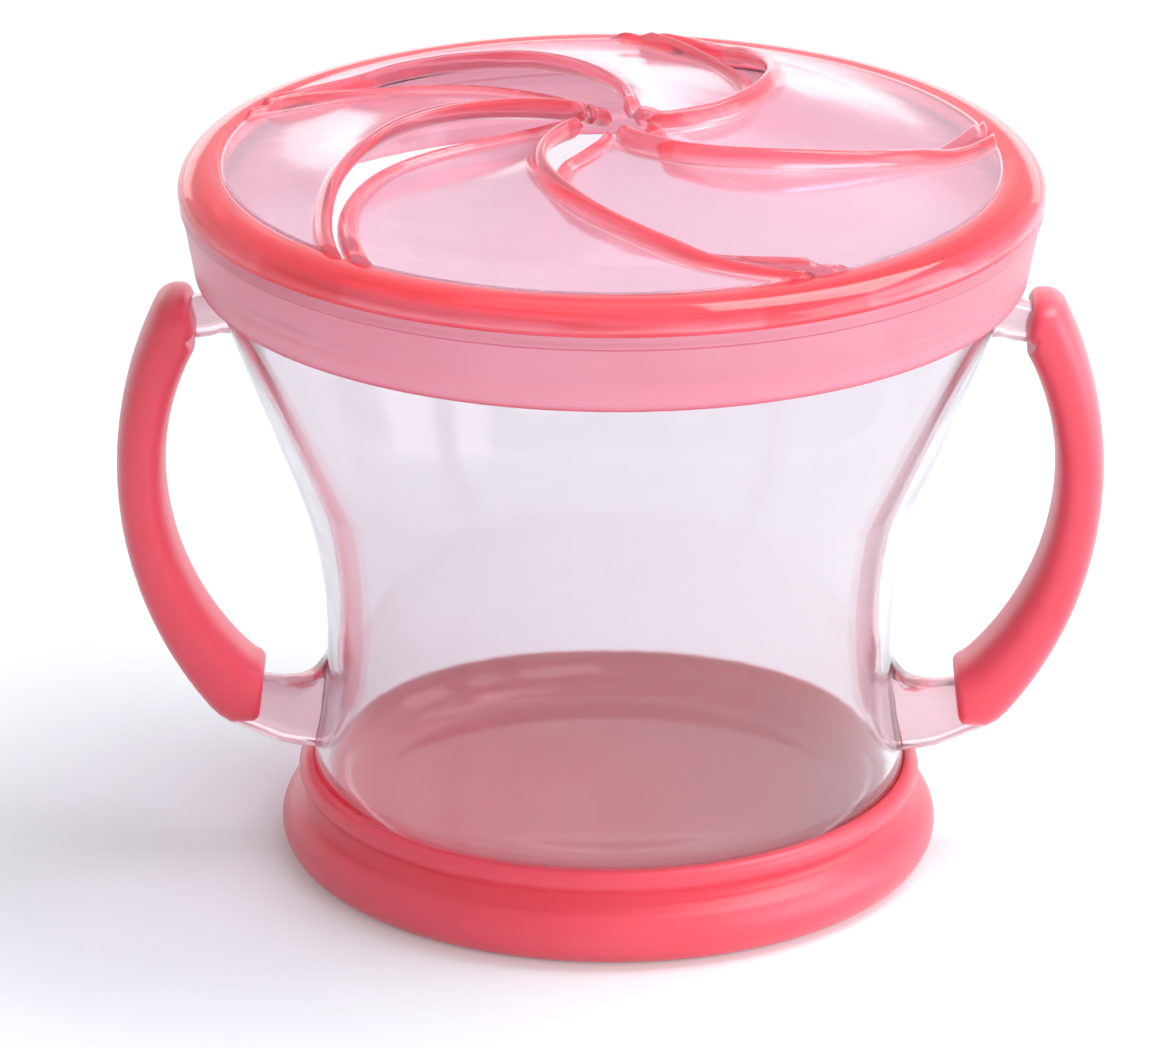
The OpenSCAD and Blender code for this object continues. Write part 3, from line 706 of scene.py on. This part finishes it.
def flap_tree():
    """The rule as a node group: U runs across a flap, V from its root to its tip, W up through it."""
    tree = bpy.data.node_groups.new("spiral_flap", "GeometryNodeTree")
    for name, value in FLAP_INPUTS.items():
        socket = tree.interface.new_socket(name, in_out="INPUT", socket_type="NodeSocketFloat")
        socket.default_value = value
    tree.interface.new_socket("Finish", in_out="INPUT", socket_type="NodeSocketMaterial")
    tree.interface.new_socket("Geometry", in_out="OUTPUT", socket_type="NodeSocketGeometry")
    given = add(tree, "NodeGroupInput")
    box = add(tree, "GeometryNodeMeshCube", None,
              {"Size": (1, 1, 1), "Vertices X": 73, "Vertices Y": 97, "Vertices Z": 2})
    place = add(tree, "ShaderNodeSeparateXYZ", None,
                {"Vector": add(tree, "GeometryNodeInputPosition").outputs["Position"]})
    values = {name: given.outputs[name] for name in FLAP_INPUTS}
    for name, axis in (("U", "X"), ("V", "Y"), ("W", "Z")):
        values[name] = add(tree, "ShaderNodeMath", {"operation": "ADD"},
                           {0: place.outputs[axis], 1: 0.5}).outputs[0]

    def step(name, operation, *operands):
        operands = [values.get(o, o) for o in operands]
        if operation == "SMOOTH":
            values[name] = add(tree, "ShaderNodeMapRange", {"interpolation_type": "SMOOTHSTEP"},
                               {"Value": operands[0]}).outputs["Result"]
        else:
            values[name] = add(tree, "ShaderNodeMath", {"operation": operation},
                               dict(enumerate(operands))).outputs[0]

    for line in FLAP_RULE[:2]:
        step(*line)
    share = add(tree, "ShaderNodeMath", {"operation": "DIVIDE"}, {0: values["r"], 1: EDGE_REACH}).outputs[0]
    for name, heights in (("Low edge", LOW_EDGE), ("High edge", HIGH_EDGE)):
        node = add(tree, "ShaderNodeFloatCurve", None, {"Value": share})
        points = node.mapping.curves[0].points
        while len(points) < len(heights):
            points.new(0.5, 0.5)
        for point, (radius, height) in zip(points, heights):
            point.location = (radius / EDGE_REACH, height)
        node.mapping.update()
        values[name] = node.outputs["Value"]
    for line in FLAP_RULE[2:]:
        step(*line)
    where = add(tree, "ShaderNodeCombineXYZ", None, {"X": values["x"], "Y": values["y"], "Z": values["z"]})
    metres = add(tree, "ShaderNodeVectorMath", {"operation": "SCALE"},
                 {"Vector": where.outputs["Vector"], "Scale": MM})
    marked = add(tree, "GeometryNodeStoreNamedAttribute", {"data_type": "FLOAT", "domain": "POINT"},
                 {"Geometry": box.outputs["Mesh"], "Name": "bead", "Value": values["hump"]})
    moved = add(tree, "GeometryNodeSetPosition", None,
                {"Geometry": marked.outputs["Geometry"], "Position": metres.outputs["Vector"]})
    closed = add(tree, "GeometryNodeMergeByDistance", None,
                 {"Geometry": moved.outputs["Geometry"], "Distance": 2e-6})
    smooth = add(tree, "GeometryNodeSetShadeSmooth", None, {"Geometry": closed.outputs["Geometry"]})
    real = add(tree, "GeometryNodeRealizeInstances", None, {"Geometry": smooth.outputs["Geometry"]})
    painted = add(tree, "GeometryNodeSetMaterial", None,
                  {"Geometry": real.outputs["Geometry"], "Material": given.outputs["Finish"]})
    add(tree, "NodeGroupOutput", None, {"Geometry": painted.outputs["Geometry"]})
    return tree


def build_flap(tree, number):
    """One flap, turned to its place round the lid, as a plain mesh."""
    name = f"spiral_flap_{number + 1}"
    holder = bpy.data.objects.new(name + "_rule", bpy.data.meshes.new(name + "_rule"))
    bpy.context.scene.collection.objects.link(holder)
    rule = holder.modifiers.new("rule", "NODES")
    rule.node_group = tree
    sockets = {s.name: s.identifier for s in tree.interface.items_tree if s.in_out == "INPUT"}
    rule[sockets["Turn"]] = SLIT_TURN + SECTOR * number
    rule[sockets["Finish"]] = FLAP
    mesh = bpy.data.meshes.new_from_object(holder.evaluated_get(bpy.context.evaluated_depsgraph_get()))
    bpy.data.objects.remove(holder)
    mesh.name = name
    piece = bpy.data.objects.new(name, mesh)
    bpy.context.scene.collection.objects.link(piece)
    return piece


# Pieces: cup, grips and foot on the container's body, collar and ring on the lid's, and the flaps

cup = build_cup()
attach(cup, "container")
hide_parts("cup")

for side, label in ((-1, "left"), (1, "right")):
    grip = build_grip(label + "_grip_sleeve", side)
    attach(grip, "container")
    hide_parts(label + "_grip")

foot = lathe("foot_boot", foot_outline(), CORAL)
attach(foot, "container")
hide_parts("foot")

collar = lathe("collar_band", collar_outline(), COLLAR)
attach(collar, "lid")
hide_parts("lid_collar")

ring = lathe("soft_top_ring", ring_outline(), RING)
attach(ring, "lid")
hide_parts("top_ring")

rule_tree = flap_tree()
for number in range(FLAPS):
    flap = build_flap(rule_tree, number)
    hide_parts(f"flap_{number + 1}")
    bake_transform(flap)


# Stage: floor, backdrop, lights and camera

# How white the floor shows by itself under the object, and how far away it turns quite white, in metres
FLOOR_GLOW = 0.18
FLOOR_WHITE_FROM, FLOOR_WHITE_AT = 0.2, 1.0


def plain_stage():
    """A pale floor that shows white to the camera and keeps the object's shadow."""
    material, tree = new_material("pale_studio_floor")
    lit = add(tree, "ShaderNodeBsdfDiffuse", None, {"Color": linear("EAF1F5")})
    rays = add(tree, "ShaderNodeLightPath")
    seen = add(tree, "ShaderNodeMath", {"operation": "MAXIMUM"},
               {0: rays.outputs["Is Camera Ray"], 1: rays.outputs["Is Glossy Ray"]})
    seen = add(tree, "ShaderNodeMath", {"operation": "MAXIMUM"},
               {0: seen.outputs[0], 1: rays.outputs["Is Transmission Ray"]})
    place = add(tree, "ShaderNodeTexCoord").outputs["Object"]
    away = add(tree, "ShaderNodeVectorMath", {"operation": "LENGTH"}, {0: place}).outputs["Value"]
    backdrop = add(tree, "ShaderNodeMapRange", {"interpolation_type": "SMOOTHSTEP"},
                   {"Value": away, "From Min": FLOOR_WHITE_FROM, "From Max": FLOOR_WHITE_AT,
                    "To Min": FLOOR_GLOW, "To Max": 1.0})
    glow = add(tree, "ShaderNodeMath", {"operation": "MULTIPLY"},
               {0: seen.outputs[0], 1: backdrop.outputs["Result"]})
    white = add(tree, "ShaderNodeEmission", None, {"Color": (1, 1, 1, 1), "Strength": glow.outputs[0]})
    both = add(tree, "ShaderNodeAddShader", None, {0: lit.outputs["BSDF"], 1: white.outputs["Emission"]})
    add(tree, "ShaderNodeOutputMaterial", None, {"Surface": both.outputs["Shader"]})
    mesh = bpy.data.meshes.new("studio_floor")
    reach = 3.0
    mesh.from_pydata([(-reach, -reach, 0), (reach, -reach, 0), (reach, reach, 0), (-reach, reach, 0)],
                     [], [(0, 1, 2, 3)])
    mesh.materials.append(material)
    floor = bpy.data.objects.new("studio_floor", mesh)
    bpy.context.scene.collection.objects.link(floor)


def lamp(name, place, target, size, power, mirrored=True):
    """A rectangular lamp that the camera never sees, and that reflections see only where mirrored."""
    light = bpy.data.lights.new(name, "AREA")
    light.shape, light.size, light.size_y = "RECTANGLE", size[0], size[1]
    light.energy = power
    holder = bpy.data.objects.new(name, light)
    holder.location = place
    holder.rotation_euler = (Vector(target) - Vector(place)).to_track_quat("-Z", "Y").to_euler()
    holder.visible_camera = False
    holder.visible_glossy = mirrored
    bpy.context.scene.collection.objects.link(holder)


def studio_world():
    """White backdrop to the camera, a room a little dimmer at the front left, and a softer sky for light."""
    world = bpy.data.worlds.new("studio_world")
    bpy.context.scene.world = world
    world.use_nodes = True
    tree = world.node_tree
    tree.nodes.clear()
    rays = add(tree, "ShaderNodeLightPath")
    way = add(tree, "ShaderNodeTexCoord").outputs["Generated"]
    facing = add(tree, "ShaderNodeVectorMath", {"operation": "DOT_PRODUCT"},
                 {0: way, 1: (0.35, 0.85, 0.4)}).outputs["Value"]
    room = add(tree, "ShaderNodeMapRange", {"interpolation_type": "SMOOTHSTEP"},
               {"Value": facing, "From Min": -0.5, "From Max": 0.35, "To Min": 0.94}).outputs["Result"]
    bent = add(tree, "ShaderNodeMath", {"operation": "MAXIMUM"},
               {0: rays.outputs["Is Glossy Ray"], 1: rays.outputs["Is Transmission Ray"]}).outputs[0]
    glow = add(tree, "ShaderNodeMix", None, {"Factor": bent, "A": 0.26, "B": room}).outputs["Result"]
    glow = add(tree, "ShaderNodeMath", {"operation": "MAXIMUM"},
               {0: glow, 1: rays.outputs["Is Camera Ray"]}).outputs[0]
    sky = add(tree, "ShaderNodeBackground", None, {"Color": linear("FCFBFF"), "Strength": glow})
    add(tree, "ShaderNodeOutputWorld", None, {"Surface": sky.outputs["Background"]})


def photo_camera():
    """The camera fitted to the photograph: 0.9 m in front of the object, a little above it."""
    data = bpy.data.cameras.new("photo_camera")
    data.sensor_fit, data.sensor_width, data.lens = "HORIZONTAL", 36.0, 262.39
    data.clip_start, data.clip_end = 0.05, 20
    camera = bpy.data.objects.new("photo_camera", data)
    pan, tilt, roll = 0.00262, math.radians(90 - 21.468), 0.00431
    turn = (Matrix.Rotation(pan, 4, "Z") @ Matrix.Rotation(tilt, 4, "X")
            @ Matrix.Rotation(roll, 4, "Z"))
    camera.matrix_world = Matrix.Translation((-0.000474, -0.9, 0.392695)) @ turn
    bpy.context.scene.collection.objects.link(camera)
    bpy.context.scene.camera = camera


plain_stage()
lamp("right_top_softbox", (0.35, 0.1, 0.72), (0, 0, 0.04), (0.45, 0.45), 4.3)
lamp("low_back_softbox", (0, 1.2, 0.22), (0, 0, 0.09), (1.6, 0.3), 2.0)
lamp("top_softbox", (0.05, 0.1, 0.85), (0, 0, 0.04), (0.6, 0.6), 1.0)
lamp("front_fill", (0.35, -0.85, 0.42), (0, 0, 0.04), (0.6, 0.5), 3.5, mirrored=False)
lamp("right_fill", (0.8, -0.2, 0.27), (0, 0, 0.04), (0.8, 0.6), 4.2)
studio_world()
photo_camera()
bpy.context.scene.view_settings.view_transform = "Standard"
